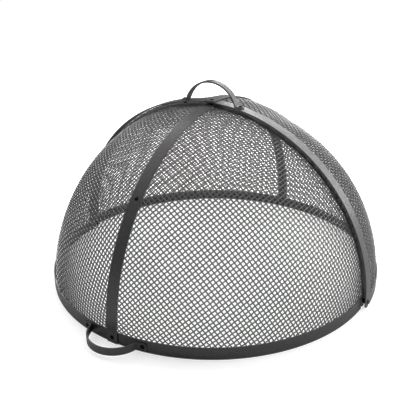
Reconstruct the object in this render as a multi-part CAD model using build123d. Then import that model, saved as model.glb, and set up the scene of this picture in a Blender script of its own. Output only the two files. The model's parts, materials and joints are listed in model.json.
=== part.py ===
from build123d import *
import math
import os

# Pivoting spark screen for a round fire pit, in millimetres.
# Two nested quarter-sphere halves of steel strap and woven wire turn about one
# horizontal axis. Z is up, the ground is z = 0, the opening half faces -Y and
# the pivot axis runs along X. The origin is the middle of the bounding box's
# base, so the dome's own centre stands a little behind it.

# Driving dimensions
REAR_RADIUS = 456.0          # outer face of the rear ring and hoop
FRONT_RADIUS = 445.0         # outer face of the front ring and hoop
STRAP_WIDTH = 31.0
STRAP_THICKNESS = 2.5
MESH_THICKNESS = 2.4         # one closed shell stands for two crossing wires
BAR_WIDTH = 19.0             # both handles are bent from one flat bar
BAR_THICKNESS = 3.0

# Clearances
LAP_LIFT = 0.3               # a centre strap stands this far off ring and hoop
SEAT_GAP = 0.1               # nuts and washers on a concave face
MESH_GAP = 0.3               # mesh under the inside of ring and hoop
TURN_GAP = 0.35              # each side of the front hoop on the pivot bolt
GROUND_GAP = 0.3             # strap ends above the ground

# Fasteners, M6
SHANK_RADIUS = 3.0
CLEAR_HOLE = 3.2
PIVOT_HOLE = 3.06            # the front hoop turns on the bolt
HEAD_RADIUS = 5.9
HEAD_HEIGHT = 2.8
SOCKET_ACROSS = 4.0
SOCKET_DEPTH = 1.6
NUT_ACROSS = 10.0
NUT_HEIGHT = 5.0
NUT_BORE = 3.05
RIVET_HEAD_HEIGHT = 2.2
RIVET_SHANK = 2.4
RIVET_TAIL_RADIUS = 4.0
RIVET_TAIL_HEIGHT = 2.4
SHORT_BOLT = 12.0            # under the head
CLAMP_BOLT = 16.0
PIVOT_BOLT = 22.0

# Places
HALF_WIDTH = STRAP_WIDTH / 2
PIVOT_Z = HALF_WIDTH         # the hoops' round ends just reach the ground
STRAP_BOLT_ELEVATION = 43.0  # bolt part way up a centre strap, degrees
HANDLE_BOLT_ANGLE = 10.6     # handle bolts from the middle, degrees
HANDLE_END_X = 92.0
TOP_ARCH_HALF = 75.0         # where the arch leaves the hoop, from the middle
TOP_ARCH_RISE = 57.5         # crown above those two points
LOWER_ARCH_HALF = 69.0
LOWER_ARCH_RISE = 61.0
MESH_LAP = 9.0               # mesh tucked under ring and hoop
MESH_SIDE = 7.5              # mesh edge from the middle of a centre strap
STRAP_LAP = 13.0             # centre strap past the middle of the hoop
PIVOT_SPACER_RADIUS = 6.5
PIVOT_WASHER_RADIUS = 6.5
PIVOT_WASHER_HEIGHT = 1.2
STRAP_WASHER_RADIUS = 12.0
STRAP_WASHER_HEIGHT = 1.5

BIG = 2000.0
PARTS = {}


def bore(radius):
    """A long drill along Z, centred on the origin."""
    return Cylinder(radius, BIG)


def half_space(x=0, y=0, z=0):
    """A big box on the side of the origin that the signs point to."""
    return Pos(x * BIG / 2, y * BIG / 2, z * BIG / 2) * Box(BIG, BIG, BIG)


def keep(solid, side, at):
    """The part of a solid beyond the plane at `at`, on the side's sign."""
    place = Pos(at[0], at[1], at[2])
    return solid & (place * half_space(*side))


def radial(radius, angle, turn=0.0):
    """Frame whose +Z points out from the dome's centre.

    `angle` is the elevation above the front or rear and `turn` the direction
    round Z from +Y, both in degrees.
    """
    face = Rot(0, 0, turn) * Rot(-90, 0, 0) * Rot(angle, 0, 0)
    return Pos(0, 0, PIVOT_Z) * face * Pos(0, 0, radius)


def on_hoop(radius, lean):
    """Frame on a hoop, `lean` degrees from the apex towards +X."""
    return Pos(0, 0, PIVOT_Z) * Rot(0, lean, 0) * Pos(0, 0, radius)


def on_front_ring(radius, swing):
    """Frame on the front ring, `swing` degrees from the middle towards +X."""
    return radial(radius, 0, 180 + swing)


def annulus(outer, inner, width):
    """Flat ring of rectangular section about Z."""
    return Cylinder(outer, width) - Cylinder(inner, width)


# Fasteners, each with its bearing face at z = 0 and its head on +Z

def domed_head(radius, height):
    """Low spherical cap with a short upright rim."""
    rim = 0.25 * height
    crown = height - rim
    ball = (radius**2 + crown**2) / (2 * crown)
    cap = Pos(0, 0, height - ball) * Sphere(ball)
    return cap & (Pos(0, 0, height / 2) * Cylinder(radius, height))


def shank(radius, length):
    return Pos(0, 0, -length / 2) * Cylinder(radius, length)


def hex_prism(across, height):
    """Six-sided prism standing on z = 0."""
    return extrude(RegularPolygon(across / 2, 6, major_radius=False), height)


def bolt(length):
    """Button-head bolt with a hexagon socket."""
    head = domed_head(HEAD_RADIUS, HEAD_HEIGHT)
    socket = Pos(0, 0, HEAD_HEIGHT - SOCKET_DEPTH) * hex_prism(SOCKET_ACROSS, HEAD_HEIGHT)
    return head - socket + shank(SHANK_RADIUS, length)


def nut():
    """Hexagon nut from z = 0 down."""
    body = Pos(0, 0, -NUT_HEIGHT) * hex_prism(NUT_ACROSS, NUT_HEIGHT)
    return body - bore(NUT_BORE)


def washer(radius, height, hole):
    """Plain washer from z = 0 down."""
    return Pos(0, 0, -height / 2) * Cylinder(radius, height) - bore(hole)


def rivet(grip):
    """Domed rivet set through `grip` of metal, with a low flat tail."""
    reach = grip + SEAT_GAP
    tail = Pos(0, 0, -reach - RIVET_TAIL_HEIGHT / 2) * Cylinder(RIVET_TAIL_RADIUS, RIVET_TAIL_HEIGHT)
    return domed_head(HEAD_RADIUS, RIVET_HEAD_HEIGHT) + shank(RIVET_SHANK, reach) + tail


# Straps

def drill(solid, frame, radius):
    """Hole along a frame's Z, on that side of the dome only."""
    return solid - frame * Cylinder(radius, 30)


def round_ends(solid, thickness, radius, beyond=0.0):
    """Rounds the corners of a bar's cut ends, at least `beyond` from the middle."""
    across = [e for e in solid.edges() if abs(e.length - thickness) < 0.1]
    return fillet([e for e in across if abs(e.center().X) > beyond], radius)


def base_ring(outer, side):
    """Half ring on the ground, ending against the hoop's edge."""
    band = Pos(0, 0, HALF_WIDTH) * annulus(outer, outer - STRAP_THICKNESS, STRAP_WIDTH)
    band = keep(band, (0, side, 0), (0, side * HALF_WIDTH, 0))
    return drill(band, radial(outer, 0, 0 if side > 0 else 180), CLEAR_HOLE)


def hoop(outer, pivot_hole):
    """Half hoop over the dome with a round end about each pivot."""
    inner = outer - STRAP_THICKNESS
    band = Pos(0, 0, PIVOT_Z) * Rot(90, 0, 0) * annulus(outer, inner, STRAP_WIDTH)
    band = keep(band, (0, 0, 1), (0, 0, PIVOT_Z))
    middle = outer - STRAP_THICKNESS / 2
    for side in (-1, 1):
        disc = Rot(0, 90, 0) * Cylinder(HALF_WIDTH, STRAP_THICKNESS)
        end = keep(disc, (0, 0, -1), (0, 0, 0))
        band += Pos(side * middle, 0, PIVOT_Z) * end
    band -= Pos(0, 0, PIVOT_Z) * Rot(0, 90, 0) * bore(pivot_hole)
    return drill(band, on_hoop(outer, 0), CLEAR_HOLE)


def centre_strap(frame_radius, side):
    """Quarter strap up the middle, outside the ring and over the hoop."""
    inner = frame_radius + LAP_LIFT
    outer = inner + STRAP_THICKNESS
    band = Pos(0, 0, PIVOT_Z) * Rot(0, 90, 0) * annulus(outer, inner, STRAP_WIDTH)
    band = keep(band, (0, side, 1), (0, -side * STRAP_LAP, GROUND_GAP))
    band = round_ends(band, STRAP_THICKNESS, 3.0)
    turn = 0 if side > 0 else 180
    for elevation in (0, STRAP_BOLT_ELEVATION, 90):
        band = drill(band, radial(outer, elevation, turn), CLEAR_HOLE)
    return band


def mesh_panel(frame_radius, side, hand, bolt_frame):
    """One gore of woven wire as a closed shell, tucked inside the straps."""
    outer = frame_radius - STRAP_THICKNESS - MESH_GAP
    shell = Pos(0, 0, PIVOT_Z) * (Sphere(outer) - Sphere(outer - MESH_THICKNESS))
    edge_y = side * (HALF_WIDTH - MESH_LAP)
    edge_z = STRAP_WIDTH - MESH_LAP
    panel = keep(shell, (hand, side, 1), (hand * MESH_SIDE, edge_y, edge_z))
    return panel if bolt_frame is None else panel - bolt_frame * Cylinder(CLEAR_HOLE, 60)


# Handles

def flat_bar_arch(base_radius, half, rise):
    """Bent bar standing on a round base, drawn in XY with the base's centre at 0.

    `half` is where the arch meets the base from the middle, and `rise` its
    crown above those points. The feet turn outwards along the base.
    """
    foot_y = math.sqrt(base_radius**2 - half**2)
    arch = (half**2 + rise**2) / (2 * rise)
    centre_y = foot_y + rise - arch
    loop = Pos(0, centre_y) * (Circle(arch) - Circle(arch - BAR_THICKNESS))
    loop -= Circle(base_radius)
    feet = Circle(base_radius + BAR_THICKNESS) - Circle(base_radius)
    span = HANDLE_END_X - half + BAR_THICKNESS
    for hand in (-1, 1):
        middle = hand * (HANDLE_END_X - span / 2)
        loop += feet & (Pos(middle, base_radius) * Rectangle(span, base_radius))
    bar = extrude(loop, BAR_WIDTH / 2, both=True)
    bar = bend_corners(bar, base_radius, half)
    return round_ends(bar, BAR_THICKNESS, 5.0, HANDLE_END_X - 1)


def bend_corners(bar, base_radius, half):
    """Gives the bar's two bends their inside and outside radius."""
    upright = [e for e in bar.edges().filter_by(Axis.Z) if abs(abs(e.center().X) - half) < 8]
    inside = [e for e in upright if math.hypot(e.center().X, e.center().Y) > base_radius + 1]
    outside = [e for e in upright if math.hypot(e.center().X, e.center().Y) <= base_radius + 1]
    bar = fillet(inside, BAR_THICKNESS)
    near = [(e.center().X, e.center().Y) for e in outside]
    outside = [e for e in bar.edges().filter_by(Axis.Z)
               if any(math.hypot(e.center().X - x, e.center().Y - y) < 0.5 for x, y in near)]
    return fillet(outside, 2 * BAR_THICKNESS)


def top_handle():
    arch = flat_bar_arch(REAR_RADIUS, TOP_ARCH_HALF, TOP_ARCH_RISE)
    bar = Pos(0, 0, PIVOT_Z) * Rot(90, 0, 0) * arch
    for angle in (-HANDLE_BOLT_ANGLE, HANDLE_BOLT_ANGLE):
        bar = drill(bar, on_hoop(REAR_RADIUS, angle), CLEAR_HOLE)
    return bar


def lower_handle():
    arch = flat_bar_arch(FRONT_RADIUS, LOWER_ARCH_HALF, LOWER_ARCH_RISE)
    bar = Pos(0, 0, PIVOT_Z) * Rot(0, 0, 180) * arch
    for angle in (-HANDLE_BOLT_ANGLE, HANDLE_BOLT_ANGLE):
        bar = drill(bar, on_front_ring(FRONT_RADIUS, angle), CLEAR_HOLE)
    return bar


# Assembly

def build_rear():
    """The fixed rear half and the hinge hardware it carries."""
    strap_outer = REAR_RADIUS + LAP_LIFT + STRAP_THICKNESS
    inner = REAR_RADIUS - STRAP_THICKNESS
    arch = hoop(REAR_RADIUS, CLEAR_HOLE)
    bolts = []
    nuts = []
    for angle in (-HANDLE_BOLT_ANGLE, HANDLE_BOLT_ANGLE):
        arch = drill(arch, on_hoop(REAR_RADIUS, angle), CLEAR_HOLE)
        bolts.append(on_hoop(REAR_RADIUS + BAR_THICKNESS, angle) * bolt(SHORT_BOLT))
        nuts.append(on_hoop(inner - SEAT_GAP, angle) * nut())
    PARTS["rear_hoop"] = arch
    PARTS["rear_base_ring"] = base_ring(REAR_RADIUS, 1)
    PARTS["rear_centre_strap"] = centre_strap(REAR_RADIUS, 1)
    PARTS["rear_mesh_left"] = mesh_panel(REAR_RADIUS, 1, -1, None)
    PARTS["rear_mesh_right"] = mesh_panel(REAR_RADIUS, 1, 1, None)
    PARTS["top_handle"] = top_handle()
    PARTS["top_handle_bolts"] = Compound(children=bolts)
    PARTS["top_handle_nuts"] = Compound(children=nuts)
    lap = 2 * STRAP_THICKNESS + LAP_LIFT
    PARTS["rear_apex_rivet"] = radial(strap_outer, 90) * rivet(lap)
    PARTS["rear_strap_rivet"] = radial(strap_outer, STRAP_BOLT_ELEVATION) * rivet(STRAP_THICKNESS)
    PARTS["rear_strap_foot_bolt"] = radial(strap_outer, 0) * bolt(SHORT_BOLT)
    PARTS["rear_strap_foot_nut"] = radial(inner - SEAT_GAP, 0) * nut()


def build_pivots():
    """Bolt, spacer, washer and nut at each end of the pivot axis."""
    spacer_length = REAR_RADIUS - STRAP_THICKNESS - FRONT_RADIUS - TURN_GAP - SEAT_GAP
    washer_face = FRONT_RADIUS - STRAP_THICKNESS - TURN_GAP
    stack = {"pivot_bolts": [], "pivot_spacers": [], "pivot_washers": [], "pivot_nuts": []}
    for hand in (-1, 1):
        def at(radius):
            return Pos(0, 0, PIVOT_Z) * Rot(0, 90 * hand, 0) * Pos(0, 0, radius)
        spacer_face = REAR_RADIUS - STRAP_THICKNESS - SEAT_GAP
        stack["pivot_bolts"].append(at(REAR_RADIUS) * bolt(PIVOT_BOLT))
        spacer = washer(PIVOT_SPACER_RADIUS, spacer_length, NUT_BORE)
        stack["pivot_spacers"].append(at(spacer_face) * spacer)
        plate = washer(PIVOT_WASHER_RADIUS, PIVOT_WASHER_HEIGHT, NUT_BORE)
        stack["pivot_washers"].append(at(washer_face) * plate)
        stack["pivot_nuts"].append(at(washer_face - PIVOT_WASHER_HEIGHT) * nut())
    for name, solids in stack.items():
        PARTS[name] = Compound(children=solids)


def build_front():
    """The opening front half."""
    strap_outer = FRONT_RADIUS + LAP_LIFT + STRAP_THICKNESS
    inner = FRONT_RADIUS - STRAP_THICKNESS
    ring = base_ring(FRONT_RADIUS, -1)
    bolts = []
    nuts = []
    for angle in (-HANDLE_BOLT_ANGLE, HANDLE_BOLT_ANGLE):
        ring = drill(ring, on_front_ring(FRONT_RADIUS, angle), CLEAR_HOLE)
        bolts.append(on_front_ring(FRONT_RADIUS + BAR_THICKNESS, angle) * bolt(SHORT_BOLT))
        nuts.append(on_front_ring(inner - SEAT_GAP, angle) * nut())
    PARTS["front_base_ring"] = ring
    PARTS["front_hoop"] = hoop(FRONT_RADIUS, PIVOT_HOLE)
    PARTS["front_centre_strap"] = centre_strap(FRONT_RADIUS, -1)
    bolt_frame = radial(FRONT_RADIUS, STRAP_BOLT_ELEVATION, 180)
    PARTS["front_mesh_left"] = mesh_panel(FRONT_RADIUS, -1, -1, bolt_frame)
    PARTS["front_mesh_right"] = mesh_panel(FRONT_RADIUS, -1, 1, bolt_frame)
    PARTS["lower_handle"] = lower_handle()
    PARTS["lower_handle_bolts"] = Compound(children=bolts)
    PARTS["lower_handle_nuts"] = Compound(children=nuts)
    lap = 2 * STRAP_THICKNESS + LAP_LIFT
    PARTS["front_apex_rivet"] = radial(strap_outer, 90) * rivet(lap)
    PARTS["front_strap_foot_bolt"] = radial(strap_outer, 0, 180) * bolt(SHORT_BOLT)
    PARTS["front_strap_foot_nut"] = radial(inner - SEAT_GAP, 0, 180) * nut()
    mesh_face = inner - MESH_GAP - MESH_THICKNESS - 2 * SEAT_GAP
    PARTS["front_strap_bolt"] = radial(strap_outer, STRAP_BOLT_ELEVATION, 180) * bolt(CLAMP_BOLT)
    plate = washer(STRAP_WASHER_RADIUS, STRAP_WASHER_HEIGHT, CLEAR_HOLE)
    PARTS["front_strap_washer"] = radial(mesh_face, STRAP_BOLT_ELEVATION, 180) * plate
    nut_face = mesh_face - STRAP_WASHER_HEIGHT
    PARTS["front_strap_nut"] = radial(nut_face, STRAP_BOLT_ELEVATION, 180) * nut()


def centring_shift():
    """Moves the model so that the origin is the middle of its base."""
    boxes = [part.bounding_box() for part in PARTS.values()]
    low = min(box.min.Y for box in boxes)
    high = max(box.max.Y for box in boxes)
    return Pos(0, -(low + high) / 2, 0)


build_rear()
build_pivots()
build_front()
shift = centring_shift()
os.makedirs("parts", exist_ok=True)
for name, part in PARTS.items():
    export_step(shift * part, "parts/" + name + ".step")
print("pivot axis y", round(shift.position.Y, 3), "z", PIVOT_Z)
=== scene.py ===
"""Looks of a pivoting dome spark screen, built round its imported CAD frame.

Every strap, handle, fastener and wire is a finished mesh in the frame's own
place, in metres. The rear half stands still and the front half swings.
"""

import json
import logging
from dataclasses import dataclass
from enum import Enum
from math import acos, asin, atan2, ceil, cos, pi, radians, sin, sqrt
from typing import Any, Callable, Iterable, Optional, Union

import bmesh
import bpy
from bpy.types import Material, Mesh, NodeTree, Object
from mathutils import Matrix, Vector


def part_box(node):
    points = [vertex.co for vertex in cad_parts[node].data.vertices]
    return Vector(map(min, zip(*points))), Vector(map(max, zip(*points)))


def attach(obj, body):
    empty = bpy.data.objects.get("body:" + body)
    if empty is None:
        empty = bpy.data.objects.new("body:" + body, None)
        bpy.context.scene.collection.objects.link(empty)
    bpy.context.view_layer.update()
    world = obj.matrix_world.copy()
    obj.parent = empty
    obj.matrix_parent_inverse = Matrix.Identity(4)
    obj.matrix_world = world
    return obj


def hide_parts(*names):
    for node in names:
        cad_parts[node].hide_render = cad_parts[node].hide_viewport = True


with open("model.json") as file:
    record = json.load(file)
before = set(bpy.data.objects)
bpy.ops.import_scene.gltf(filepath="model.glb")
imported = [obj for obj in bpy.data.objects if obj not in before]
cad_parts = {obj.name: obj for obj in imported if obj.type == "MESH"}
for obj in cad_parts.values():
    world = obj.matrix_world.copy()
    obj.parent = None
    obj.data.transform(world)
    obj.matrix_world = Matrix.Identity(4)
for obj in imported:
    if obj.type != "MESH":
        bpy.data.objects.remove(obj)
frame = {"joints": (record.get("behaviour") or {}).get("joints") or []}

log = logging.getLogger("spark_screen")

# Sizes that the frame's boxes don't tell, in metres, and angles in degrees
STRAP_THICKNESS = 0.0025
BAR_THICKNESS = 0.003
LAP_LIFT = 0.0003
SEAT_GAP = 0.0001
TURN_GAP = 0.00035
STRAP_LAP = 0.013
GROUND_GAP = 0.0003
MESH_LAP = 0.009
MESH_SIDE = 0.0075
STRAP_BOLT_ELEVATION = 43.0
HANDLE_BOLT_ANGLE = 10.6
WIRE_RADIUS = 0.00114
WIRE_PITCH = 0.00985
WIRE_SIDES = 6
EDGE_RADIUS = 0.00055
CREASE_ANGLE = 38.0
UP = Vector((0, 0, 1))
RIGHT = Vector((1, 0, 0))

# How the net lies, as bands of a place on the dome divided by its radius
SIDE_BAND = (0.05, 0.32)      # the net sags more from the centre strap outwards
STRAP_BAND = (0.03, 0.14)     # it rises under the centre strap
EDGE_BAND = (0.035, 0.10)     # but not at the hoop or the ring
SAG_SHARPNESS = 1.6
WAVER_PER_METRE = 7.0


class Named(Enum):
    """Options whose names are parts of the pieces' names."""

    @property
    def word(self) -> str:
        """The option as it stands in a piece's name."""
        return self.name.lower()


class Half(Named):
    """The two halves of the dome, with the side of the pivot axis each is on."""

    REAR = 1
    FRONT = -1

    @property
    def way(self) -> Vector:
        """The direction in which the half bulges over the ground."""
        return Vector((0, self.value, 0))

    @property
    def body(self) -> str:
        """Name of the CAD body that the half's pieces ride on."""
        return self.word + "_screen"


class Hand(Named):
    """Left and right as seen from the front."""

    LEFT = -1
    RIGHT = 1


# How each gore's net was cut, in degrees, and how far each half's net sags, as
# a share of the dome's radius
NET_ANGLES = {
    (Half.FRONT, Hand.RIGHT): 31.0,
    (Half.FRONT, Hand.LEFT): 0.0,
    (Half.REAR, Hand.RIGHT): 40.0,
    (Half.REAR, Hand.LEFT): -35.0,
}
NET_SAGS = {Half.FRONT: 0.031, Half.REAR: 0.027}


# Node trees


def both_ways(operation: str) -> tuple[Callable, Callable]:
    """Makes the methods of one of Signal's operators.

    Args:
        operation: the Math node's operation.

    Returns:
        The operator's method and its reflected form.
    """

    def plain(signal: "Signal", other: Any) -> "Signal":
        """The signal stands on the operator's left."""
        return signal.math(operation, signal, other)

    def reflected(signal: "Signal", other: Any) -> "Signal":
        """The signal stands on the operator's right."""
        return signal.math(operation, other, signal)

    return plain, reflected


@dataclass
class Signal:
    """A number or colour flowing in a node tree, used like a Python number."""

    graph: "Graph"
    socket: bpy.types.NodeSocket

    def math(self, operation: str, *values: Any) -> "Signal":
        """Adds a Math node.

        Args:
            operation: the node's operation.
            values: its inputs, in order.

        Returns:
            The node's result.
        """
        inputs = dict(enumerate(values))
        return self.graph.add("ShaderNodeMath", inputs, operation=operation).out()

    __add__, __radd__ = both_ways("ADD")
    __sub__, __rsub__ = both_ways("SUBTRACT")
    __mul__, __rmul__ = both_ways("MULTIPLY")
    __truediv__, __rtruediv__ = both_ways("DIVIDE")
    __pow__, __rpow__ = both_ways("POWER")

    def __neg__(self) -> "Signal":
        """The same size with the other sign."""
        return 0.0 - self

    def __abs__(self) -> "Signal":
        """Size without the sign."""
        return self.math("ABSOLUTE", self)

    def __gt__(self, other: Any) -> "Signal":
        """1 where greater, else 0."""
        return self.math("GREATER_THAN", self, other)

    def cosine(self) -> "Signal":
        """Cosine of an angle in radians."""
        return self.math("COSINE", self)

    def sine(self) -> "Signal":
        """Sine of an angle in radians."""
        return self.math("SINE", self)

    def at_least(self, other: Any) -> "Signal":
        """The greater of two values."""
        return self.math("MAXIMUM", self, other)

    def step(self, low: float, high: float) -> "Signal":
        """Smooth step.

        Args:
            low: the value where it is 0.
            high: the value where it is 1.

        Returns:
            The step.
        """
        inputs = {"Value": self, "From Min": low, "From Max": high}
        smooth = self.graph.add("ShaderNodeMapRange", inputs, interpolation_type="SMOOTHSTEP")
        return smooth.out()


@dataclass
class Built:
    """A node that has been added to a graph."""

    graph: "Graph"
    node: bpy.types.Node

    def out(self, key: Union[int, str] = 0) -> Signal:
        """One of the node's outputs, by name or number."""
        return Signal(self.graph, self.node.outputs[key])

    def feed(self, inputs: dict) -> None:
        """Links or sets some of the node's inputs.

        Args:
            inputs: values or links, by socket name or number.
        """
        for key, value in inputs.items():
            socket = self.node.inputs[key]
            value = value.out() if isinstance(value, Built) else value
            if isinstance(value, Signal):
                self.graph.tree.links.new(value.socket, socket)
            else:
                socket.default_value = value


@dataclass
class Graph:
    """Adds nodes and links to one node tree."""

    tree: NodeTree

    def add(self, kind: str, inputs: Optional[dict] = None, **settings: Any) -> Built:
        """Adds one node.

        Args:
            kind: the node's type.
            inputs: values or links, by socket name or number.
            settings: its properties, set first.

        Returns:
            The node, with its outputs as signals.
        """
        node = self.tree.nodes.new(kind)
        for key, value in settings.items():
            setattr(node, key, value)
        built = Built(self, node)
        built.feed(inputs or {})
        return built

    def vector(self, operation: str, *values: Any, out: Union[int, str] = 0) -> Signal:
        """Adds a Vector Math node.

        Args:
            operation: the node's operation.
            values: its inputs, in order.
            out: the output that is wanted.

        Returns:
            The node's result.
        """
        inputs = dict(enumerate(values))
        return self.add("ShaderNodeVectorMath", inputs, operation=operation).out(out)

    def split(self, vector: Any) -> tuple[Signal, Signal, Signal]:
        """A vector's three parts."""
        parts = self.add("ShaderNodeSeparateXYZ", {0: vector})
        return parts.out(0), parts.out(1), parts.out(2)

    def grey(self, tone: Signal) -> Signal:
        """A neutral colour of one tone."""
        return self.add("ShaderNodeCombineColor", {0: tone, 1: tone, 2: tone}).out()


# Finishes


def shader_graph(name: str) -> tuple[Material, Graph, Built]:
    """Starts a material.

    Args:
        name: the material's name.

    Returns:
        The material, its graph and its principled shader.
    """
    material = bpy.data.materials.new(name)
    material.use_nodes = True
    material.node_tree.nodes.clear()
    graph = Graph(material.node_tree)
    shader = graph.add("ShaderNodeBsdfPrincipled")
    graph.add("ShaderNodeOutputMaterial", {"Surface": shader})
    return material, graph, shader


def grain(graph: Graph, per_metre: float, detail: float = 2.0) -> Signal:
    """Noise on the piece's own coordinates.

    Args:
        graph: the material's graph.
        per_metre: how many grains there are in a metre.
        detail: the noise's detail.

    Returns:
        A signal from 0 to 1 about 0.5.
    """
    place = graph.add("ShaderNodeTexCoord").out("Object")
    inputs = {"Vector": place, "Scale": per_metre, "Detail": detail}
    return graph.add("ShaderNodeTexNoise", inputs).out(0)


@dataclass(frozen=True)
class PaintedSteel:
    """Black paint baked on steel: fine orange peel, drifting sheen, worn edges."""

    name: str
    colour: float = 0.022
    edge_colour: float = 0.060
    roughness: float = 0.37
    peel_per_metre: float = 700.0
    peel_depth: float = 0.00006
    peel_strength: float = 0.55
    drift_per_metre: float = 9.0
    wear_per_metre: float = 120.0
    pit_band: tuple[float, float] = (0.55, 0.75)
    wear_band: tuple[float, float] = (0.42, 0.68)
    speckle: float = 0.25
    pit_tone: float = 0.35
    drift_dulling: float = 0.16
    pit_dulling: float = 0.05
    wear_polish: float = 0.08
    specular: float = 0.5
    metal: float = 0.0

    def make(self) -> Material:
        """Builds the material.

        Returns:
            The material.
        """
        material, graph, shader = shader_graph(self.name)
        drift = grain(graph, self.drift_per_metre, 3.0)
        peel = grain(graph, self.peel_per_metre)
        pits = grain(graph, 4.0 * self.peel_per_metre, 1.0).step(*self.pit_band)
        wear = graph.add("ShaderNodeAttribute", attribute_name="edge").out("Fac")
        rubbed = wear * grain(graph, self.wear_per_metre, 4.0).step(*self.wear_band)
        tone = self.colour * (1.0 + self.speckle * (drift - 0.5) + self.pit_tone * pits)
        tone = tone + (self.edge_colour - self.colour) * rubbed
        rough = self.roughness + self.drift_dulling * (drift - 0.5)
        rough = rough + self.pit_dulling * pits - self.wear_polish * rubbed
        inputs = {"Height": peel, "Distance": self.peel_depth, "Strength": self.peel_strength}
        shader.feed({
            "Base Color": graph.grey(tone),
            "Roughness": rough,
            "Normal": graph.add("ShaderNodeBump", inputs),
            "Specular IOR Level": self.specular,
            "Metallic": self.metal,
        })
        return material


@dataclass(frozen=True)
class StudioFloor:
    """Plain pale floor that keeps only a faint contact shadow.

    The camera sees it glow and nearly unlit, so it stays near white behind the
    wires. Every other ray finds plain paper of `lit_albedo`.
    """

    name: str = "studio_floor"
    glow: float = 0.84
    shown_albedo: float = 0.10
    lit_albedo: float = 0.58
    roughness: float = 0.9

    def make(self) -> Material:
        """Builds the material.

        Returns:
            The material.
        """
        material, graph, shader = shader_graph(self.name)
        seen = graph.add("ShaderNodeLightPath").out("Is Camera Ray")
        tone = self.lit_albedo + (self.shown_albedo - self.lit_albedo) * seen
        shader.feed({
            "Base Color": graph.grey(tone),
            "Roughness": self.roughness,
            "Specular IOR Level": 0.0,
            "Emission Color": graph.grey(seen),
            "Emission Strength": self.glow,
        })
        return material


# Mesh helpers


def new_object(name: str, data: bpy.types.ID) -> Object:
    """Links a mesh, lamp or camera to the scene as an object at the origin.

    Args:
        name: the object's name.
        data: what the object shows.

    Returns:
        The object.
    """
    made = bpy.data.objects.new(name, data)
    bpy.context.scene.collection.objects.link(made)
    return made


@dataclass
class Piece:
    """A finished piece and how it joins the frame."""

    thing: Object
    body: str
    slot: str
    nodes: tuple[str, ...]

    def join(self) -> None:
        """Rides the piece on its body, hides the CAD parts that it stands for and logs its face
        count.
        """
        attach(self.thing, self.body)
        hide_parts(*self.nodes)
        faces = len(self.thing.data.polygons)
        log.info("%s: %d faces, on %s", self.thing.name, faces, self.body)


def swung(start: Vector, side: Vector, degrees: float) -> Vector:
    """The direction at an angle from `start` towards `side`."""
    return start * cos(radians(degrees)) + side * sin(radians(degrees))


@dataclass(frozen=True)
class Plane:
    """A drawing plane in space: its origin and its two axes."""

    origin: Vector
    p_axis: Vector
    q_axis: Vector

    def point(self, p: float, q: float) -> Vector:
        """The place of a point drawn at (p, q)."""
        return self.origin + self.p_axis * p + self.q_axis * q

    def direction(self, angle: float) -> Vector:
        """The direction drawn at an angle from the p axis, in radians."""
        return self.p_axis * cos(angle) + self.q_axis * sin(angle)


@dataclass
class BarPath:
    """A bar's centre line: straight runs and arcs, one after another.

    Each run is (length, curvature), and the bar's outer face is on the right
    hand of the way the path goes.
    """

    plane: Plane
    start: tuple[float, float]
    heading: float
    runs: list[tuple[float, float]]

    @property
    def length(self) -> float:
        """Length of the whole path."""
        return sum(length for length, _ in self.runs)

    def at(self, along: float) -> tuple[Vector, Vector, Vector]:
        """A place on the path.

        Args:
            along: distance from the start.

        Returns:
            The centre, the way the path goes and the outward direction.
        """
        p, q = self.start
        heading = self.heading
        left = min(max(along, 0.0), self.length)
        for length, curve in self.runs:
            walked = min(left, length)
            if curve == 0:
                p += walked * cos(heading)
                q += walked * sin(heading)
            else:
                turned = heading + walked * curve
                p += (sin(turned) - sin(heading)) / curve
                q -= (cos(turned) - cos(heading)) / curve
                heading = turned
            left -= walked
            if left <= 0:
                break
        onward = self.plane.direction(heading)
        return self.plane.point(p, q), onward, self.plane.direction(heading - pi / 2)

    def marks(self, turn: float) -> list[float]:
        """Distances at which a smooth bar needs a section.

        Args:
            turn: the most that the bar may turn between two, in radians.

        Returns:
            The distances from the start.
        """
        found = [0.0]
        for length, curve in self.runs:
            pieces = max(1, ceil(abs(length * curve) / turn))
            begin = found[-1]
            found += [begin + length * (i + 1) / pieces for i in range(pieces)]
        return found


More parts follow.
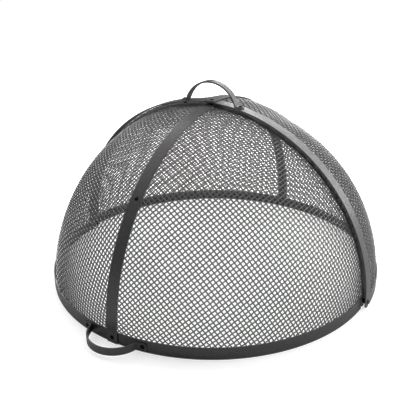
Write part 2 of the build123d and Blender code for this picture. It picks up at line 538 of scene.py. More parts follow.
@dataclass
class FlatBar:
    """Flat bar with softened edges, swept along a path.

    The mesh carries its true normals and an `edge` attribute, 1 on its
    softened edges, for wear in the paint.
    """

    width: float
    thickness: float
    path: BarPath
    corner: float = EDGE_RADIUS
    turn: float = radians(2.0)
    steps: int = 3
    end_steps: int = 8
    soft_share: float = 0.98
    side_edge: float = 0.4
    least_half: float = 0.00025
    least_gap: float = 0.00004

    def _section(self, along: float) -> list[tuple[Vector, Vector, float]]:
        """Draws the bar's outline at one place.

        Args:
            along: distance from the start of the path.

        Returns:
            Each point of the outline, its normal and its edge value.
        """
        centre, onward, out = self.path.at(along)
        across = out.cross(onward)
        ends = [(along, -1.0), (self.path.length - along, 1.0)]
        gap, way = min(ends)
        half_width, lean_width = self._shrink(self.width / 2, self.corner, gap)
        half_depth, lean_depth = self._shrink(self.thickness / 2, EDGE_RADIUS, gap)
        soft = min(EDGE_RADIUS, self.soft_share * half_width, self.soft_share * half_depth)
        ring = []
        for right, up in ((1, 1), (-1, 1), (-1, -1), (1, -1)):
            for step in range(self.steps + 1):
                part = step / self.steps
                angle = pi / 2 * (part if right * up > 0 else 1 - part)
                a, b = right * cos(angle), up * sin(angle)
                place = centre + across * (right * (half_width - soft) + soft * a)
                place += out * (up * (half_depth - soft) + soft * b)
                end = onward * way
                normal = a * (across * cos(lean_width) + end * sin(lean_width))
                normal += b * (out * cos(lean_depth) + end * sin(lean_depth))
                if gap == 0:
                    normal = end
                edge = self.side_edge if step in (0, self.steps) else 1.0
                ring.append((place, normal.normalized(), edge))
        return ring

    def _shrink(self, half: float, radius: float, gap: float) -> tuple[float, float]:
        """Half size near a rounded end, and how far the side leans over there.

        Args:
            half: the half size away from the ends.
            radius: the end's radius.
            gap: distance from the end.

        Returns:
            The half size, and the lean in radians.
        """
        if gap >= radius:
            return half, 0.0
        reach = radius - gap
        inset = radius - sqrt(max(radius**2 - reach**2, 0.0))
        return max(half - inset, self.least_half), asin(min(reach / radius, 1.0))

    def _places(self) -> list[float]:
        """Spaces the sections, closer together at the rounded ends.

        Returns:
            The distances from the start.
        """
        places = set(self.path.marks(self.turn))
        for radius in (EDGE_RADIUS, self.corner):
            for step in range(1, self.end_steps + 1):
                inset = radius * (1 - cos(pi / 2 * step / self.end_steps))
                places |= {inset, self.path.length - inset}
        kept: list[float] = []
        for place in sorted(places):
            if not kept or place - kept[-1] > self.least_gap:
                kept.append(place)
        kept[-1] = self.path.length
        return kept

    def build(self, name: str, paint: Material) -> Object:
        """Makes the bar's closed mesh.

        Args:
            name: the piece's name.
            paint: its material.

        Returns:
            The bar.
        """
        rings = [self._section(place) for place in self._places()]
        count = len(rings[0])
        points = [point for ring in rings for point, _, _ in ring]
        normals = [normal for ring in rings for _, normal, _ in ring]
        faces = [tuple(reversed(range(count)))]
        for row in range(len(rings) - 1):
            base = row * count
            for i in range(count):
                j = (i + 1) % count
                faces.append((base + i, base + j, base + count + j, base + count + i))
        last = (len(rings) - 1) * count
        faces.append(tuple(range(last, last + count)))
        mesh = bpy.data.meshes.new(name)
        mesh.from_pydata(points, [], faces)
        mesh.polygons.foreach_set("use_smooth", [True] * len(faces))
        edge = mesh.attributes.new("edge", "FLOAT", "POINT")
        edge.data.foreach_set("value", [value for ring in rings for _, _, value in ring])
        mesh.normals_split_custom_set_from_vertices(normals)
        mesh.update()
        mesh.materials.append(paint)
        return new_object(name, mesh)


@dataclass(frozen=True)
class Ring:
    """One ring of a turned shape: its radius, height, outline and edge wear."""

    radius: float
    height: float
    six_sided: bool = False
    edge: float = 0.0


@dataclass(frozen=True)
class Profile:
    """A turned shape: its rings from end to end, and whether it has a bore."""

    rings: list[Ring]
    bored: bool = False


def turned(name: str, profile: Profile, segments: int = 24) -> Mesh:
    """Turns a profile about Z.

    Args:
        name: the mesh's name.
        profile: what to turn; without a bore, both ends are capped.
        segments: points round each ring, a multiple of six.

    Returns:
        A closed mesh with smooth faces and sharp creases.
    """
    rings = profile.rings
    points = []
    for ring in rings:
        for i in range(segments):
            angle = 2 * pi * i / segments
            reach = ring.radius
            if ring.six_sided:
                reach /= cos((angle + pi / 6) % (pi / 3) - pi / 6)
            points.append((reach * cos(angle), reach * sin(angle), ring.height))
    faces = []
    pairs = len(rings) if profile.bored else len(rings) - 1
    for row in range(pairs):
        base, top = row * segments, (row + 1) % len(rings) * segments
        for i in range(segments):
            j = (i + 1) % segments
            faces.append((base + i, base + j, top + j, top + i))
    if not profile.bored:
        faces.append(tuple(reversed(range(segments))))
        faces.append(tuple(range((len(rings) - 1) * segments, len(rings) * segments)))
    mesh = bpy.data.meshes.new(name)
    mesh.from_pydata(points, [], faces)
    edge = mesh.attributes.new("edge", "FLOAT", "POINT")
    edge.data.foreach_set("value", [ring.edge for ring in rings for _ in range(segments)])
    work = bmesh.new()
    work.from_mesh(mesh)
    bmesh.ops.recalc_face_normals(work, faces=work.faces)
    work.to_mesh(mesh)
    work.free()
    mesh.polygons.foreach_set("use_smooth", [True] * len(mesh.polygons))
    mesh.set_sharp_from_angle(angle=radians(CREASE_ANGLE))
    return mesh


# Geometry node trees


def geometry_tree(name: str, sockets: dict[str, str]) -> tuple[NodeTree, Graph, Built]:
    """Starts a geometry node tree.

    Args:
        name: the tree's name.
        sockets: each input's name and socket type.

    Returns:
        The tree, its graph and its group input.
    """
    tree = bpy.data.node_groups.new(name, "GeometryNodeTree")
    for way in ("INPUT", "OUTPUT"):
        tree.interface.new_socket("Geometry", in_out=way, socket_type="NodeSocketGeometry")
    for label, kind in sockets.items():
        tree.interface.new_socket(label, in_out="INPUT", socket_type=kind)
    graph = Graph(tree)
    return tree, graph, graph.add("NodeGroupInput")


def close_tree(graph: Graph, given: Built, shape: Any) -> None:
    """Ends a tree in Realize Instances and Set Material.

    Args:
        graph: the tree's graph.
        given: the tree's group input.
        shape: the geometry so far.
    """
    real = graph.add("GeometryNodeRealizeInstances", {0: shape})
    inputs = {0: real, "Material": given.out("Material")}
    painted = graph.add("GeometryNodeSetMaterial", inputs)
    graph.add("NodeGroupOutput", {0: painted})


def run_tree(name: str, tree: NodeTree, values: dict, base: Optional[Mesh] = None) -> Object:
    """Runs a tree and keeps its result as a plain mesh.

    Args:
        name: the piece's name.
        tree: the geometry node tree.
        values: its inputs, by name.
        base: the mesh that the tree starts from, or None for an empty one.

    Returns:
        The finished object, with no modifier left.
    """
    start = base or bpy.data.meshes.new(name + "_start")
    made = new_object(name, start)
    modifier = made.modifiers.new("build", "NODES")
    modifier.node_group = tree
    items = tree.interface.items_tree
    names = {item.name: item.identifier for item in items if item.in_out == "INPUT"}
    for label, value in values.items():
        modifier[names[label]] = value
    bpy.context.view_layer.update()
    shown = made.evaluated_get(bpy.context.evaluated_depsgraph_get())
    result = bpy.data.meshes.new_from_object(shown)
    made.modifiers.remove(modifier)
    made.data = result
    result.name = name
    bpy.data.meshes.remove(start)
    return made


def woven_tree() -> NodeTree:
    """Plain-woven wire on a gore of a sphere, pulled in between the straps.

    Two crossing families of wires are drawn flat, laid on the sphere about the
    gore's middle, trimmed at its edges and given their round section.

    Returns:
        The tree.
    """
    floats = ["Pitch", "Wire Radius", "Shell Radius", "Sag", "Fullness", "Strap Rise",
              "Waver", "Side Edge", "Hoop Edge", "Ring Edge"]
    vectors = ["Middle", "Warp", "Weft", "Pivot", "Quadrant"]
    sockets = {label: "NodeSocketFloat" for label in floats}
    sockets.update({label: "NodeSocketVector" for label in vectors})
    sockets.update({"Wires": "NodeSocketInt", "Material": "NodeSocketMaterial"})
    tree, graph, given = geometry_tree("woven_gore", sockets)
    families = [wire_family(graph, given, swapped) for swapped in (False, True)]
    joined = graph.add("GeometryNodeJoinGeometry")
    for family in reversed(families):
        graph.tree.links.new(family.socket, joined.node.inputs[0])
    smooth = graph.add("GeometryNodeSetShadeSmooth", {0: joined})
    close_tree(graph, given, smooth)
    return tree


def scaled(graph: Graph, vector: Any, factor: Any) -> Signal:
    """A vector times a number."""
    inputs = {0: vector, "Scale": factor}
    return graph.add("ShaderNodeVectorMath", inputs, operation="SCALE").out()


def wire_family(graph: Graph, given: Built, swapped: bool) -> Signal:
    """One of the two families of parallel wires.

    Args:
        graph: the tree's graph.
        given: the tree's group input.
        swapped: False for the warp, True for the weft, which crosses it and
            goes under where the warp goes over.

    Returns:
        The wires as mesh tubes.
    """
    pitch, wires = given.out("Pitch"), given.out("Wires")
    reach = pitch * wires * 0.5
    corner = graph.add("ShaderNodeCombineXYZ", {0: -reach})
    far = graph.add("ShaderNodeCombineXYZ", {0: reach})
    line = graph.add("GeometryNodeCurvePrimitiveLine", {"Start": corner, "End": far})
    fine = graph.add("GeometryNodeResampleCurve", {0: line, "Count": wires * 2.0 + 1.0})
    offset = graph.add("ShaderNodeCombineXYZ", {1: pitch})
    first = graph.add("ShaderNodeCombineXYZ", {1: -reach})
    inputs = {"Count": wires + 1.0, "Start Location": first, "Offset": offset}
    rack = graph.add("GeometryNodeMeshLine", inputs, mode="OFFSET")
    spread = graph.add("GeometryNodeInstanceOnPoints", {0: rack, "Instance": fine})
    curves = graph.add("GeometryNodeRealizeInstances", {0: spread})
    along, aside, _ = graph.split(graph.add("GeometryNodeInputPosition"))
    lift = given.out("Wire Radius") * ((along + aside) / pitch * pi).cosine()
    if swapped:
        along, aside, lift = aside, along, -lift
    place = gore_place(graph, given, along, aside, lift)
    moved = graph.add("GeometryNodeSetPosition", {0: curves, "Position": place})
    inputs = {0: moved, "Selection": outside_gore(graph, given)}
    trimmed = graph.add("GeometryNodeDeleteGeometry", inputs, domain="POINT")
    points = graph.add("GeometryNodeSplineLength").out("Point Count")
    inputs = {0: trimmed, "Selection": 1.0 - (points > 2.5)}
    whole = graph.add("GeometryNodeDeleteGeometry", inputs, domain="CURVE")
    inputs = {"Resolution": WIRE_SIDES, "Radius": given.out("Wire Radius")}
    profile = graph.add("GeometryNodeCurvePrimitiveCircle", inputs)
    inputs = {"Curve": whole, "Profile Curve": profile, "Fill Caps": True}
    return graph.add("GeometryNodeCurveToMesh", inputs).out()


def gore_place(
    graph: Graph, given: Built, along: Signal, aside: Signal, lift: Signal
) -> Signal:
    """Where a point of the flat net lies on the gore.

    Args:
        graph: the tree's graph.
        given: the tree's group input.
        along: the point's distance along the warp.
        aside: the point's distance along the weft.
        lift: how far the wire's crimp stands out there.

    Returns:
        The point's position.
    """
    radius = given.out("Shell Radius")
    here = graph.add("GeometryNodeInputPosition")
    inputs = {"Vector": here, "Scale": WAVER_PER_METRE, "Detail": 1.0}
    drift = graph.add("ShaderNodeTexNoise", inputs).out(0) - 0.5
    drift = given.out("Waver") * drift
    tangent = graph.vector(
        "ADD",
        scaled(graph, given.out("Warp"), along + drift),
        scaled(graph, given.out("Weft"), aside - drift),
    )
    reach = graph.vector("LENGTH", tangent, out="Value").at_least(1e-6)
    bend = reach / radius
    ray = graph.vector(
        "ADD",
        scaled(graph, given.out("Middle"), bend.cosine()),
        scaled(graph, tangent, bend.sine() / reach),
    )
    x, y, z = graph.split(ray)
    level = (x * x + y * y).at_least(1e-4)
    across = (2.0 * abs(x * y) / level) ** SAG_SHARPNESS
    upright = 2.0 * abs(z) * level**0.5
    across = across * abs(x).step(*SIDE_BAND)
    hollow = across * (1.0 - (1.0 - upright).at_least(0.0) ** given.out("Fullness"))
    near_strap = 1.0 - abs(x).step(*STRAP_BAND)
    clear = abs(y).step(*EDGE_BAND) * z.step(*EDGE_BAND)
    rise = given.out("Strap Rise") * near_strap * clear
    out = radius * (1.0 - given.out("Sag") * hollow) + rise + lift
    return graph.vector("ADD", given.out("Pivot"), scaled(graph, ray, out))


def outside_gore(graph: Graph, given: Built) -> Signal:
    """1 where a point lies beyond the gore's edges.

    Args:
        graph: the tree's graph.
        given: the tree's group input.

    Returns:
        The selection to delete.
    """
    here = graph.add("GeometryNodeInputPosition")
    local = graph.vector("SUBTRACT", here, given.out("Pivot"))
    folded = graph.vector("MULTIPLY", local, given.out("Quadrant"))
    x, y, z = graph.split(folded)
    inside = (x > given.out("Side Edge")) * (y > given.out("Hoop Edge"))
    return 1.0 - inside * (z > given.out("Ring Edge"))


def fastener_tree() -> NodeTree:
    """Stands a pattern piece at every seat, turned by chance about its own axis.

    Returns:
        The tree.
    """
    sockets = {"Pattern": "NodeSocketObject", "Seed": "NodeSocketInt",
               "Spin": "NodeSocketFloat", "Material": "NodeSocketMaterial"}
    tree, graph, given = geometry_tree("seated_fasteners", sockets)
    pattern = graph.add("GeometryNodeObjectInfo", {"Object": given.out("Pattern")})
    facing = graph.add(
        "GeometryNodeInputNamedAttribute", {"Name": "facing"}, data_type="FLOAT_VECTOR"
    )
    aimed = graph.add("FunctionNodeAlignRotationToVector", {"Vector": facing}, axis="Z")
    inputs = {"Max": given.out("Spin"), "Seed": given.out("Seed")}
    chance = graph.add("FunctionNodeRandomValue", inputs, data_type="FLOAT")
    angles = graph.add("ShaderNodeCombineXYZ", {2: chance.out("Value")})
    spin = graph.add("FunctionNodeEulerToRotation", {0: angles})
    inputs = {"Rotation": aimed, "Rotate By": spin}
    turn = graph.add("FunctionNodeRotateRotation", inputs, rotation_space="LOCAL")
    inputs = {
        0: given.out("Geometry"), "Instance": pattern.out("Geometry"), "Rotation": turn,
    }
    close_tree(graph, given, graph.add("GeometryNodeInstanceOnPoints", inputs))
    return tree


# Sub-assemblies


@dataclass(frozen=True)
class Dome:
    """The dome's driving sizes, read from the frame."""

    pivot: Vector
    radius: dict
    width: float
    bar_width: float

    @classmethod
    def from_frame(cls) -> "Dome":
        """Reads the pivot from the hinge and the radii from the hoops' boxes.

        Returns:
            The dome.
        """
        pivot = Vector(frame["joints"][0]["pos_m"])
        radius = {}
        for half in Half:
            low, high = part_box(half.word + "_hoop")
            radius[half] = (high.x - low.x) / 2
        low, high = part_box("rear_hoop")
        bar_low, bar_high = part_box("top_handle")
        return cls(pivot, radius, high.y - low.y, bar_high.y - bar_low.y)

    def spot(self, radius: float, direction: Vector) -> Vector:
        """A point at a distance from the dome's centre."""
        return self.pivot + direction.normalized() * radius

    def strap_face(self, half: Half) -> float:
        """Radius of the outer face of a half's centre strap."""
        return self.radius[half] + LAP_LIFT + STRAP_THICKNESS

    def nut_face(self, half: Half) -> float:
        """Radius at which a nut bears inside a half's ring or hoop."""
        return self.radius[half] - STRAP_THICKNESS - SEAT_GAP


@dataclass
class StrapFrame:
    """One half's base ring, hoop and centre strap."""

    dome: Dome
    half: Half
    paint: Material
    thickness: float = STRAP_THICKNESS
    strap_corner: float = 0.003

    def _finish(self, bar: FlatBar, part: str) -> None:
        """Builds a bar and joins it to the frame.

        Args:
            bar: the bar.
            part: which of the half's straps it is.
        """
        node = f"{self.half.word}_{part}"
        made = bar.build(node + "_bar", self.paint)
        Piece(made, self.half.body, "strap_steel", (node,)).join()

    def _arc(self, across: Vector, up: Vector, middle: float, ends: tuple) -> BarPath:
        """Path of a strap about the pivot.

        Args:
            across: the direction that the arc's angles start from.
            up: the direction at a right angle to it.
            middle: the arc's radius.
            ends: the angles at which it begins and ends, in radians.

        Returns:
            The strap's centre line.
        """
        begin, end = ends
        start = (middle * cos(begin), middle * sin(begin))
        runs = [(middle * (end - begin), 1 / middle)]
        return BarPath(Plane(self.dome.pivot, across, up), start, begin + pi / 2, runs)

    def base_ring(self) -> None:
        """Half ring on the ground, its ends against the hoop's edge."""
        middle = self.dome.radius[self.half] - self.thickness / 2
        begin = asin(self.dome.width / 2 / middle)
        path = self._arc(RIGHT, self.half.way, middle, (begin, pi - begin))
        self._finish(FlatBar(self.dome.width, self.thickness, path), "base_ring")

    def hoop(self) -> None:
        """Half hoop over the dome, with a full round end about each pivot."""
        middle = self.dome.radius[self.half] - self.thickness / 2
        end = self.dome.width / 2
        path = self._arc(RIGHT, UP, middle, (0.0, pi))
        path = BarPath(path.plane, (middle, -end), pi / 2, [(end, 0.0), *path.runs, (end, 0.0)])
        self._finish(FlatBar(self.dome.width, self.thickness, path, corner=end), "hoop")

    def centre_strap(self) -> None:
        """Strap up the middle of the half, outside its ring and over its hoop."""
        middle = self.dome.strap_face(self.half) - self.thickness / 2
        foot = -asin((self.dome.pivot.z - GROUND_GAP) / middle)
        path = self._arc(self.half.way, UP, middle, (foot, pi / 2 + asin(STRAP_LAP / middle)))
        bar = FlatBar(self.dome.width, self.thickness, path, corner=self.strap_corner)
        self._finish(bar, "centre_strap")

    def build(self) -> None:
        """Makes the three straps."""
        self.base_ring()
        self.hoop()
        self.centre_strap()


@dataclass
class WovenGore:
    """One quarter of the dome's wire net."""

    dome: Dome
    half: Half
    hand: Hand
    tree: NodeTree
    paint: Material
    net_angle: float
    sag: float
    fullness: float = 1.3
    strap_rise: float = 0.0028
    waver: float = 0.0016
    middle_elevation: float = 35.0
    span: float = 0.87

    def _basis(self) -> tuple[Vector, Vector, Vector]:
        """Sets out the gore.

        Returns:
            Direction of the gore's middle, and of its warp and weft there.
        """
        level = Vector((self.hand.value, self.half.value, 0)).normalized()
        middle = swung(level, UP, self.middle_elevation)
        right = UP.cross(level).normalized()
        rise = middle.cross(right).normalized()
        turn = Matrix.Rotation(radians(self.net_angle), 3, middle)
        return middle, turn @ right, turn @ rise

    def build(self) -> None:
        """Weaves the gore and joins it to the frame."""
        middle, warp, weft = self._basis()
        inner = self.dome.radius[self.half] - STRAP_THICKNESS - LAP_LIFT
        values = {
            "Pitch": WIRE_PITCH,
            "Wires": round(self.span / WIRE_PITCH / 2) * 2,
            "Wire Radius": WIRE_RADIUS,
            "Shell Radius": inner - 2 * WIRE_RADIUS,
            "Sag": self.sag,
            "Fullness": self.fullness,
            "Strap Rise": self.strap_rise,
            "Waver": self.waver,
            "Side Edge": MESH_SIDE,
            "Hoop Edge": self.dome.width / 2 - MESH_LAP,
            "Ring Edge": self.dome.width - MESH_LAP - self.dome.pivot.z,
            "Middle": middle,
            "Warp": warp,
            "Weft": weft,
            "Pivot": self.dome.pivot,
            "Quadrant": Vector((self.hand.value, self.half.value, 1)),
            "Material": self.paint,
        }
        node = f"{self.half.word}_mesh_{self.hand.word}"
        made = run_tree(node + "_wires", self.tree, values)
        Piece(made, self.half.body, "mesh_wire", (node,)).join()


@dataclass
class ArchHandle:
    """A flat bar bent into an arch, with feet turned outwards along its base."""

    dome: Dome
    paint: Material
    node: str
    half: Half
    arch_half: float
    arch_rise: float
    foot_end: float = 0.092
    bend_radius: float = 1.5 * BAR_THICKNESS
    foot_corner: float = 0.005

    def _plane(self) -> Plane:
        """The top handle stands over the hoop, the lower one lies on the ring."""
        return Plane(self.dome.pivot, RIGHT, UP if self.half is Half.REAR else self.half.way)

    def path(self) -> BarPath:
        """Foot, bend, arch, bend and foot, each an arc tangent to the next.

        Returns:
            The handle's centre line.
        """
        base = self.dome.radius[self.half]
        foot = base + BAR_THICKNESS / 2
        outer = (self.arch_half**2 + self.arch_rise**2) / (2 * self.arch_rise)
        arch = outer - BAR_THICKNESS / 2
        centre = sqrt(base**2 - self.arch_half**2) + self.arch_rise - outer
        near, far = foot + self.bend_radius, arch + self.bend_radius
        bend_q = (near**2 - far**2 + centre**2) / (2 * centre)
        bend_p = sqrt(near**2 - bend_q**2)
        on_foot = atan2(bend_q, bend_p)
        on_arch = atan2(bend_q - centre, bend_p)
        begin = acos(self.foot_end / foot)
        foot_run = (foot * (on_foot - begin), 1 / foot)
        bend_run = (self.bend_radius * (on_foot - on_arch), -1 / self.bend_radius)
        arch_run = (arch * (pi - 2 * on_arch), 1 / arch)
        runs = [foot_run, bend_run, arch_run, bend_run, foot_run]
        start = (foot * cos(begin), foot * sin(begin))
        return BarPath(self._plane(), start, begin + pi / 2, runs)

    def build(self) -> None:
        """Bends the bar and joins it to the frame."""
        turn = radians(4.0)
        bar = FlatBar(self.dome.bar_width, BAR_THICKNESS, self.path(), self.foot_corner, turn)
        made = bar.build(self.node + "_bar", self.paint)
        Piece(made, self.half.body, "handle_bar", (self.node,)).join()


@dataclass(frozen=True)
class Thread:
    """An M6 fastener's common sizes."""

    shank: float = 0.003
    head: float = 0.0059
    head_height: float = 0.0028
    socket: float = 0.002
    socket_depth: float = 0.0016
    socket_lead: float = 0.0002
    nut_flat: float = 0.005
    nut_height: float = 0.005
    nut_bore: float = 0.00305
    pitch: float = 0.001
    thread_depth: float = 0.0004
    longest_thread: float = 0.007
    chamfer: float = 0.0006
    soft: float = 0.0003
    rivet_shank: float = 0.0024
    rivet_head_height: float = 0.0022
    tail: float = 0.004
    tail_height: float = 0.0024
    rubbed: float = 0.5
    socket_rubbed: float = 0.6
    crown_flat: float = 0.0008
    crown_steps: int = 6

    def _crown(self, height: float, inner: float) -> list[Ring]:
        """Draws a low domed head.

        Args:
            height: the head's height.
            inner: radius at which the dome stops.

        Returns:
            The rings from the head's bearing face inwards.
        """
        rim = 0.25 * height
        rise = height - rim
        ball = (self.head**2 + rise**2) / (2 * rise)
        rings = [Ring(self.head - self.soft, 0.0), Ring(self.head, self.soft)]
        rings.append(Ring(self.head, rim, edge=self.rubbed))
        for step in range(1, self.crown_steps):
            reach = self.head + (inner - self.head) * step / self.crown_steps
            rings.append(Ring(reach, sqrt(ball**2 - reach**2) + height - ball))
        return rings

    def bolt(self, length: float) -> Profile:
        """Button-head bolt: shank with rolled thread, domed head, hexagon socket.

        Args:
            length: the shank's length under the head.

        Returns:
            The bolt's profile, with its bearing face at height 0.
        """
        tip = -length + self.chamfer
        rings = [Ring(self.shank - self.chamfer, -length), Ring(self.shank, tip)]
        threads = int(min(length * 0.5, self.longest_thread) / self.pitch)
        for turn in range(threads):
            low = tip + turn * self.pitch
            rings.append(Ring(self.shank - self.thread_depth, low + 0.5 * self.pitch))
            rings.append(Ring(self.shank, low + self.pitch))
        rings += [Ring(self.shank, 0.0)]
        rings += self._crown(self.head_height, self.socket * 1.3)
        floor = self.head_height - self.socket_depth
        mouth = self.head_height - self.socket_lead
        rings.append(Ring(self.socket * 1.06, mouth, True, self.socket_rubbed))
        rings.append(Ring(self.socket, mouth - self.socket_lead, True))
        rings.append(Ring(self.socket, floor, True))
        rings.append(Ring(self.socket * 0.15, floor - 2 * self.socket_lead))
        return Profile(rings)

    def rivet(self, grip: float) -> Profile:
        """Domed rivet with a low upset tail.

        Args:
            grip: thickness of the metal that it holds.

        Returns:
            The rivet's profile, with its bearing face at height 0.
        """
        back = -grip - SEAT_GAP
        end = back - self.tail_height
        rings = [Ring(self.tail - self.chamfer, end), Ring(self.tail, end + self.chamfer)]
        rings += [Ring(self.tail, back), Ring(self.rivet_shank, back)]
        rings.append(Ring(self.rivet_shank, 0.0))
        return Profile(rings + self._crown(self.rivet_head_height, self.crown_flat))

    def nut(self) -> Profile:
        """Hexagon nut with chamfered corners, from its bearing face down.

        Returns:
            The nut's profile.
        """
        outer, bore, height = self.nut_flat, self.nut_bore, self.nut_height
        face = outer * 0.97
        return Profile([
            Ring(bore + self.soft, -height),
            Ring(face, -height),
            Ring(outer, -height + self.chamfer, True, self.rubbed),
            Ring(outer, -self.chamfer, True, self.rubbed),
            Ring(face, 0.0),
            Ring(bore + self.soft, 0.0),
            Ring(bore, -self.thread_depth),
            Ring(bore, -height + self.thread_depth),
        ], True)

    def collar(self, outer: float, height: float) -> Profile:
        """Washer or spacer with softened rims, from its bearing face down.

        Args:
            outer: its outer radius.
            height: its thickness.

        Returns:
            The collar's profile.
        """
        bore, face = self.nut_bore, outer - self.soft
        return Profile([
            Ring(bore, -height),
            Ring(face, -height),
            Ring(outer, -height + self.soft, edge=self.rubbed),
            Ring(outer, -self.soft, edge=self.rubbed),
            Ring(face, 0.0),
            Ring(bore, 0.0),
        ], True)


@dataclass
class FastenerRack:
    """Every bolt, nut, rivet, washer and spacer, stood in its seat."""

    dome: Dome
    tree: NodeTree
    paint: Material
    thread: Thread = Thread()
    short: float = 0.012
    clamp: float = 0.016
    pivot_bolt: float = 0.022
    washer: float = 0.0065
    washer_height: float = 0.0012
    clamp_washer: float = 0.012
    clamp_washer_height: float = 0.0015
    seed: int = 7

    def _stand(
        self, node: str, half: Half, profile: Profile, reach: float, ways: Iterable[Vector]
    ) -> None:
        """Makes one node's fasteners.

        Args:
            node: the CAD node that they stand for.
            half: the half that they ride on.
            profile: the shape of one of them.
            reach: distance of each bearing face from the dome's centre.
            ways: the outward direction of each.
        """
        ways = list(ways)
        pattern = new_object(node + "_pattern", turned(node + "_pattern", profile))
        points = bpy.data.meshes.new(node + "_seats")
        points.from_pydata([self.dome.spot(reach, way) for way in ways], [], [])
        facing = points.attributes.new("facing", "FLOAT_VECTOR", "POINT")
        facing.data.foreach_set("vector", [part for way in ways for part in way])
        self.seed += 1
        values = {
            "Pattern": pattern, "Seed": self.seed, "Spin": 2 * pi, "Material": self.paint,
        }
        made = run_tree(node + "_set", self.tree, values, points)
        bpy.data.objects.remove(pattern)
        Piece(made, half.body, "black_fasteners", (node,)).join()

    def _pivots(self) -> None:
        """Bolt, spacer, washer and nut at each end of the pivot axis."""
        ways = [RIGHT * hand.value for hand in Hand]
        rear, front = self.dome.radius[Half.REAR], self.dome.radius[Half.FRONT]
        inside = self.dome.nut_face(Half.REAR)
        back = front - STRAP_THICKNESS - TURN_GAP
        spacer = self.thread.collar(self.washer, inside - front - TURN_GAP)
        plate = self.thread.collar(self.washer, self.washer_height)
        bolt, nut = self.thread.bolt(self.pivot_bolt), self.thread.nut()
        self._stand("pivot_bolts", Half.REAR, bolt, rear, ways)
        self._stand("pivot_spacers", Half.REAR, spacer, inside, ways)
        self._stand("pivot_washers", Half.REAR, plate, back, ways)
        self._stand("pivot_nuts", Half.REAR, nut, back - self.washer_height, ways)

    def _handles(self) -> None:
        """Two bolts and two nuts on each handle."""
        angles = (-HANDLE_BOLT_ANGLE, HANDLE_BOLT_ANGLE)
        top = [swung(UP, RIGHT, angle) for angle in angles]
        low = [swung(Half.FRONT.way, RIGHT, angle) for angle in angles]
        bolt, nut = self.thread.bolt(self.short), self.thread.nut()
        for word, half, ways in (("top", Half.REAR, top), ("lower", Half.FRONT, low)):
            face = self.dome.radius[half] + BAR_THICKNESS
            self._stand(word + "_handle_bolts", half, bolt, face, ways)
            self._stand(word + "_handle_nuts", half, nut, self.dome.nut_face(half), ways)

    def _straps(self) -> None:
        """Apex rivets, foot bolts and the fastener part way up each strap."""
        rivet = self.thread.rivet(2 * STRAP_THICKNESS + LAP_LIFT)
        bolt, nut = self.thread.bolt(self.short), self.thread.nut()
        for half in Half:
            outer, back = self.dome.strap_face(half), self.dome.nut_face(half)
            apex, foot = swung(half.way, UP, 90), half.way
            self._stand(half.word + "_apex_rivet", half, rivet, outer, [apex])
            self._stand(half.word + "_strap_foot_bolt", half, bolt, outer, [foot])
            self._stand(half.word + "_strap_foot_nut", half, nut, back, [foot])
        self._part_way()

    def _part_way(self) -> None:
        """The rear strap's rivet, and the front strap's clamping bolt."""
        rear = self.dome.strap_face(Half.REAR)
        way = swung(Half.REAR.way, UP, STRAP_BOLT_ELEVATION)
        rivet = self.thread.rivet(STRAP_THICKNESS)
        self._stand("rear_strap_rivet", Half.REAR, rivet, rear, [way])
        front = self.dome.strap_face(Half.FRONT)
        way = swung(Half.FRONT.way, UP, STRAP_BOLT_ELEVATION)
        bolt = self.thread.bolt(self.clamp)
        self._stand("front_strap_bolt", Half.FRONT, bolt, front, [way])
        low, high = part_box("front_strap_washer")
        thick = self.clamp_washer_height
        face = ((low + high) / 2 - self.dome.pivot).dot(way) + thick / 2
        plate = self.thread.collar(self.clamp_washer, thick)
        self._stand("front_strap_washer", Half.FRONT, plate, face, [way])
        self._stand("front_strap_nut", Half.FRONT, self.thread.nut(), face - thick, [way])

    def build(self) -> None:
        """Makes every set."""
        self._pivots()
        self._handles()
        self._straps()


# Studio


@dataclass(frozen=True)
class SoftBox:
    """A rectangular area lamp aimed at the dome."""

    name: str
    place: tuple[float, float, float]
    width: float
    height: float
    radiance: float

    def light(self, target: Vector) -> None:
        """Adds the lamp, unseen by the camera.

        Args:
            target: the point that it is aimed at, from which `place` is told.
        """
        lamp = bpy.data.lights.new(self.name, "AREA")
        lamp.shape = "RECTANGLE"
        lamp.size = self.width
        lamp.size_y = self.height
        lamp.energy = self.radiance * pi * self.width * self.height
        thing = new_object(self.name, lamp)
        thing.location = target + Vector(self.place)
        thing.rotation_euler = (-Vector(self.place)).to_track_quat("-Z", "Y").to_euler()
        thing.visible_camera = False


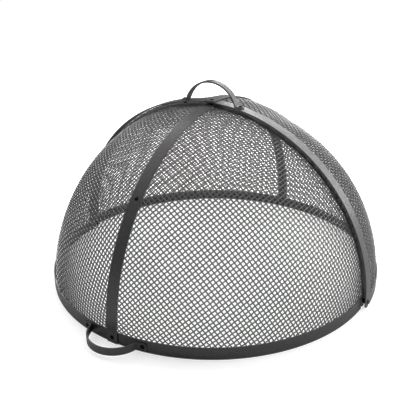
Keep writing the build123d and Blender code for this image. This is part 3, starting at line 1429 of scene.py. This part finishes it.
@dataclass
class Studio:
    """Pale floor, soft light and the camera."""

    dome: Dome
    aim: tuple[float, float, float] = (-0.0330, 0.0279, 0.15)
    distance: float = 1.7381
    azimuth: float = 32.19
    elevation: float = 24.49
    roll: float = -0.63
    lens: float = 52.8
    floor_size: float = 4.6
    ambient: float = 0.32
    shown_sky: float = 1.05
    lamps: tuple[SoftBox, ...] = (
        SoftBox("backdrop", (0.7, 3.0, 1.4), width=5.2, height=2.7, radiance=5.8),
        SoftBox("overhead", (0.1, 1.1, 3.0), width=2.6, height=2.2, radiance=9.5),
        SoftBox("left_side", (-2.9, 0.6, 1.8), width=2.8, height=2.4, radiance=12.5),
        SoftBox("right_side", (2.8, 1.3, 1.2), width=2.4, height=2.2, radiance=8.0),
    )
    tones: tuple[tuple[float, float], ...] = (
        (0.04, 0.035), (0.1, 0.062), (0.2, 0.1), (0.35, 0.165),
        (0.5, 0.25), (0.65, 0.385), (0.8, 0.58), (0.92, 0.82),
    )
    all_channels: int = 3

    def floor(self) -> None:
        """A square floor on the ground, finished like paper."""
        half = self.floor_size / 2
        mesh = bpy.data.meshes.new("floor")
        square = [(-half, -half, 0), (half, -half, 0), (half, half, 0), (-half, half, 0)]
        mesh.from_pydata(square, [], [(0, 1, 2, 3)])
        mesh.materials.append(StudioFloor().make())
        new_object("floor", mesh)

    def surroundings(self) -> None:
        """Even white room light, brighter where the camera sees it."""
        world = bpy.data.worlds.new("room")
        bpy.context.scene.world = world
        world.use_nodes = True
        world.node_tree.nodes.clear()
        graph = Graph(world.node_tree)
        seen = graph.add("ShaderNodeLightPath").out("Is Camera Ray")
        strength = self.ambient + (self.shown_sky - self.ambient) * seen
        inputs = {"Color": (1, 1, 1, 1), "Strength": strength}
        sky = graph.add("ShaderNodeBackground", inputs)
        graph.add("ShaderNodeOutputWorld", {"Surface": sky})

    def camera(self) -> None:
        """Camera above and to the right of the front."""
        side, rise = radians(self.azimuth), radians(self.elevation)
        back = swung(swung(Half.FRONT.way, RIGHT, self.azimuth), UP, self.elevation)
        data = bpy.data.cameras.new("camera")
        data.lens = self.lens
        thing = new_object("camera", data)
        ground = Vector((self.dome.pivot.x, self.dome.pivot.y, 0.0))
        thing.location = ground + Vector(self.aim) + back * self.distance
        turn = Matrix.Rotation(side, 3, "Z") @ Matrix.Rotation(pi / 2 - rise, 3, "X")
        turn = turn @ Matrix.Rotation(radians(self.roll), 3, "Z")
        thing.rotation_euler = turn.to_euler()
        bpy.context.scene.camera = thing

    def build(self) -> None:
        """Sets up the whole studio."""
        self.camera()
        self.floor()
        self.surroundings()
        for lamp in self.lamps:
            lamp.light(self.dome.pivot)
        self.develop()

    def develop(self) -> None:
        """Sets a contrasty print: whites stay white, and middle tones deepen."""
        view = bpy.context.scene.view_settings
        view.view_transform = "Standard"
        view.use_curve_mapping = True
        curve = view.curve_mapping.curves[self.all_channels]
        for brightness, shown in self.tones:
            curve.points.new(brightness, shown)
        view.curve_mapping.update()


def main() -> None:
    """Builds every sub-assembly in order."""
    logging.basicConfig(level=logging.INFO, format="%(message)s")
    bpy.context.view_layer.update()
    dome = Dome.from_frame()
    Studio(dome).build()
    strap_paint = PaintedSteel("satin_black_strap").make()
    handle_paint = PaintedSteel("satin_black_handle", peel_per_metre=620.0).make()
    wire_paint = PaintedSteel(
        "satin_black_wire", colour=0.15, roughness=0.33, peel_per_metre=900.0,
        peel_depth=0.00003, metal=0.75,
    ).make()
    fastener_paint = PaintedSteel(
        "black_oxide", colour=0.003, roughness=0.5, peel_per_metre=1500.0,
        peel_depth=0.00002, speckle=0.4, specular=0.06,
    ).make()
    for half in Half:
        StrapFrame(dome, half, strap_paint).build()
    net = woven_tree()
    for (half, hand), angle in NET_ANGLES.items():
        WovenGore(dome, half, hand, net, wire_paint, angle, NET_SAGS[half]).build()
    top = ArchHandle(dome, handle_paint, "top_handle", Half.REAR, 0.075, arch_rise=0.0575)
    low = ArchHandle(dome, handle_paint, "lower_handle", Half.FRONT, 0.069, arch_rise=0.061)
    top.build()
    low.build()
    FastenerRack(dome, fastener_tree(), fastener_paint).build()


if __name__ == "__main__":
    main()
